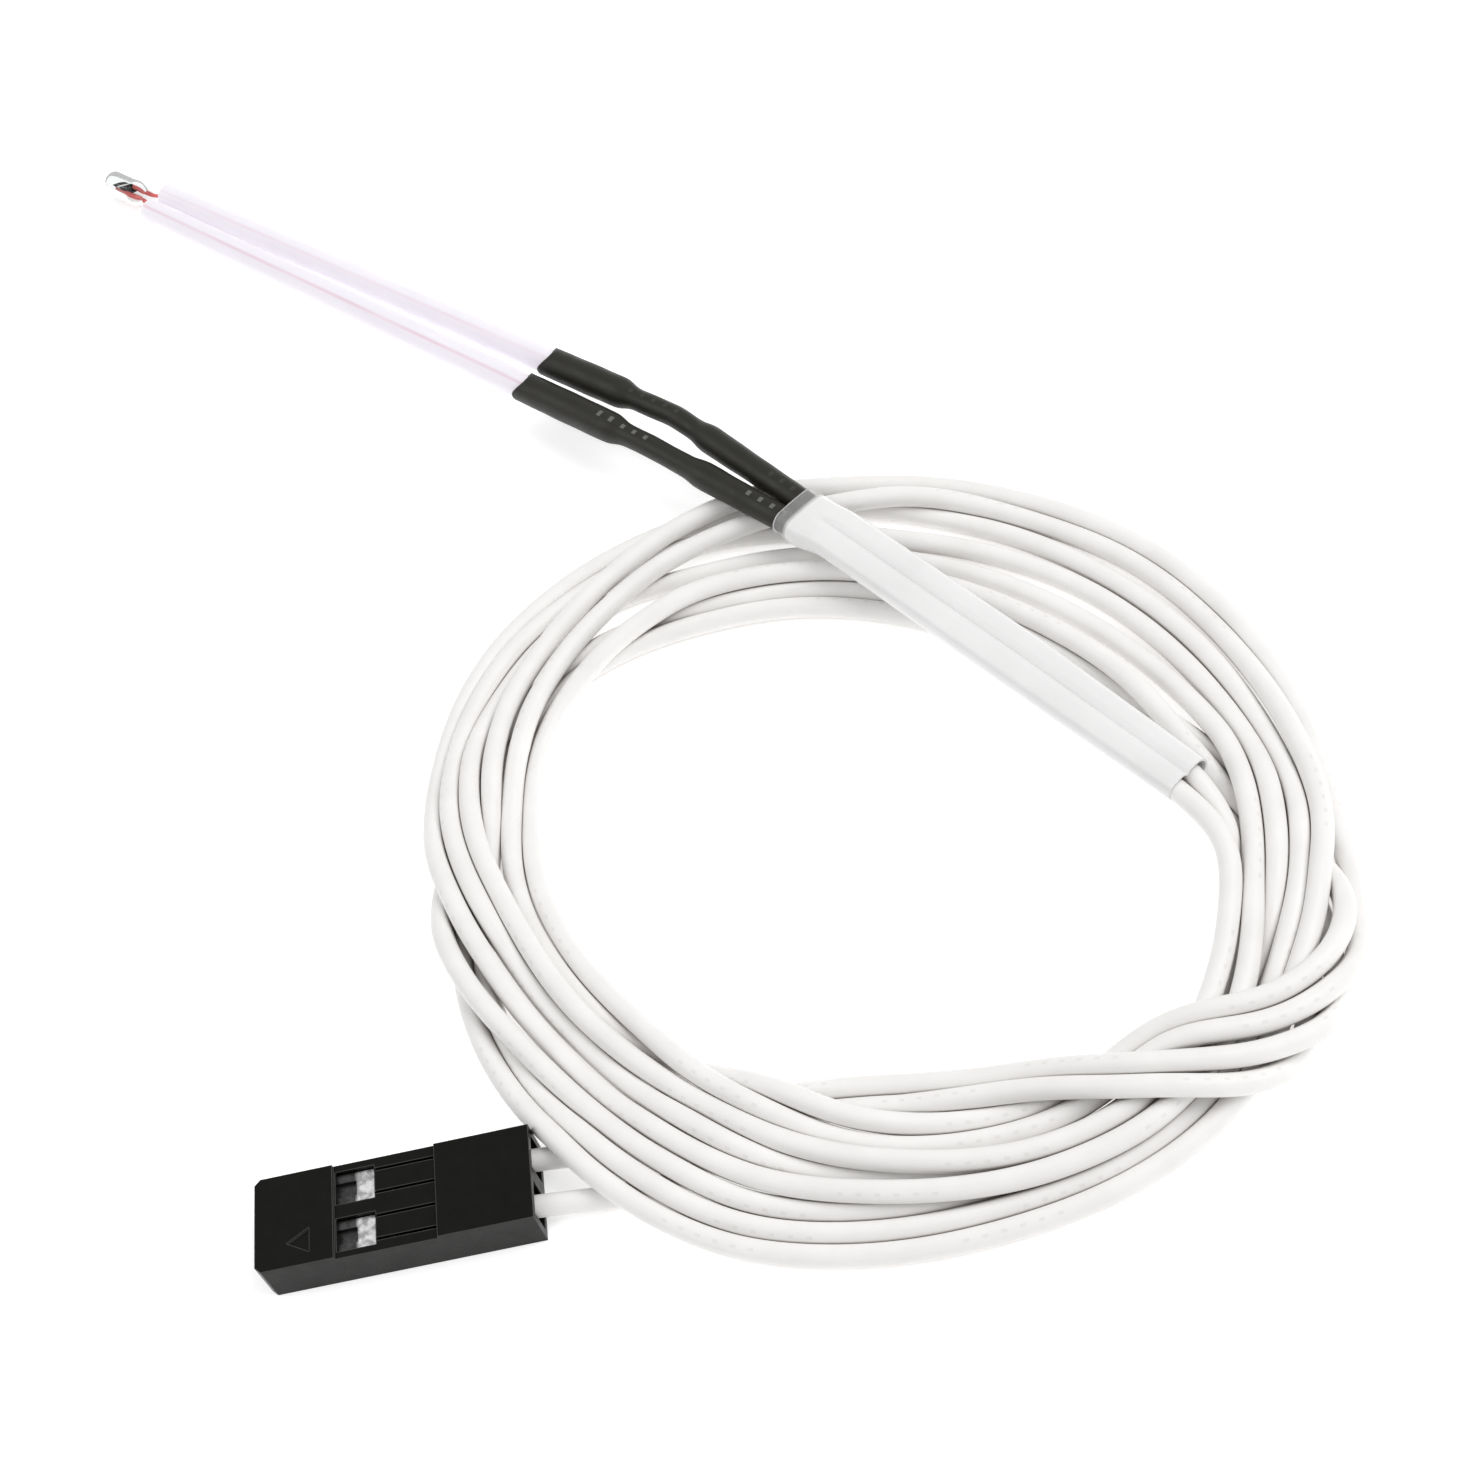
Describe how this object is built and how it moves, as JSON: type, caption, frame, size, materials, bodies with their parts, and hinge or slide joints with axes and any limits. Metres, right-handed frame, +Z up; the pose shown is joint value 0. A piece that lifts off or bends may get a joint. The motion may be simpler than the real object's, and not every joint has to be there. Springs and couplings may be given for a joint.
{
  "type": "bead thermistor",
  "caption": "Glass bead thermistor probe on two sleeved leads, with shrink-covered joints, an outer sleeve, a coiled two-wire lead and a crimp plug.",
  "frame": {"origin": "centre of the footprint of the probe, from the bead's tip to the rear end of the outer sleeve, on the surface that it lies on", "axes": "+X along the probe towards the glass bead, +Z up from the surface that it lies on"},
  "size_m": [0.1044, 0.058, 0.0038],
  "materials": {
    "bead_glass": "clear fused glass",
    "chip_ceramic": "dark sintered ceramic",
    "lead_metal": "copper-clad lead, reddish under the glass",
    "clear_sleeving": "milky translucent sleeving",
    "black_shrink": "satin black heat shrink",
    "solder": "dull solder",
    "conductor": "tinned stranded copper",
    "white_sleeve": "glossy translucent white sleeve",
    "wire_insulation": "white satin insulation",
    "plug_black": "black moulded plastic",
    "contact_metal": "bright tin plate"
  },
  "bodies": {
    "root": {"glass_bead": "bead_glass", "thermistor_chip": "chip_ceramic", "lead_wire_a": "lead_metal", "lead_wire_b": "lead_metal", "inner_sleeve_a": "clear_sleeving", "inner_sleeve_b": "clear_sleeving", "heat_shrink_a": "black_shrink", "heat_shrink_b": "black_shrink", "solder_joint_a": "solder", "solder_joint_b": "solder", "conductor_end_a": "conductor", "conductor_end_b": "conductor", "outer_sleeve": "white_sleeve", "wire_start_a": "wire_insulation", "wire_start_b": "wire_insulation", "wire_coil": "wire_insulation", "wire_finish_a": "wire_insulation", "wire_finish_b": "wire_insulation", "plug_housing": "plug_black", "crimp_contact_a": "contact_metal", "crimp_contact_b": "contact_metal", "crimp_conductor_a": "conductor", "crimp_conductor_b": "conductor"}
  },
  "joints": []
}
